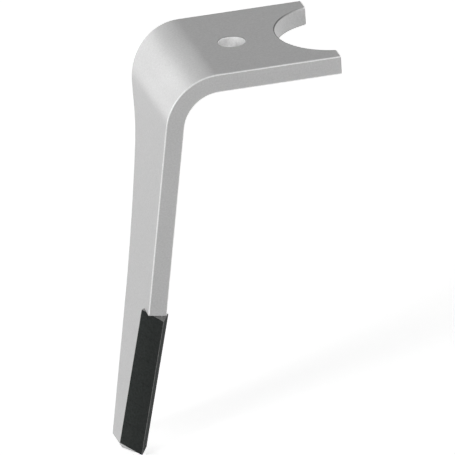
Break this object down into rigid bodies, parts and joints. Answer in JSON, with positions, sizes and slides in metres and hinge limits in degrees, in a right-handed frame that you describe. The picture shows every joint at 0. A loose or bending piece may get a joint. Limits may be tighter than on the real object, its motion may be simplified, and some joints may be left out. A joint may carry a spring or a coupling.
{
  "type": "harrow tine",
  "caption": "Bent steel blade for a rotary soil cultivator, with a bolt hole and a round notch in its flange and dark carbide tiles along the leading edge.",
  "frame": {"origin": "centre of the bolt hole, halfway through the flange's thickness", "axes": "+X along the flange towards its notched end, +Z square to the flange, away from the blade's tip, -Y towards the blade's leading edge"},
  "size_m": [0.1501, 0.104, 0.2571],
  "materials": {
    "blade_steel": "light grey, even satin",
    "tile_carbide": "near-black sintered carbide, matt"
  },
  "bodies": {
    "root": {"tine_body": "blade_steel", "carbide_tile_1": "tile_carbide", "carbide_tile_2": "tile_carbide", "carbide_tile_3": "tile_carbide", "carbide_tile_4": "tile_carbide", "carbide_tile_5": "tile_carbide", "carbide_tile_6": "tile_carbide"}
  },
  "joints": []
}
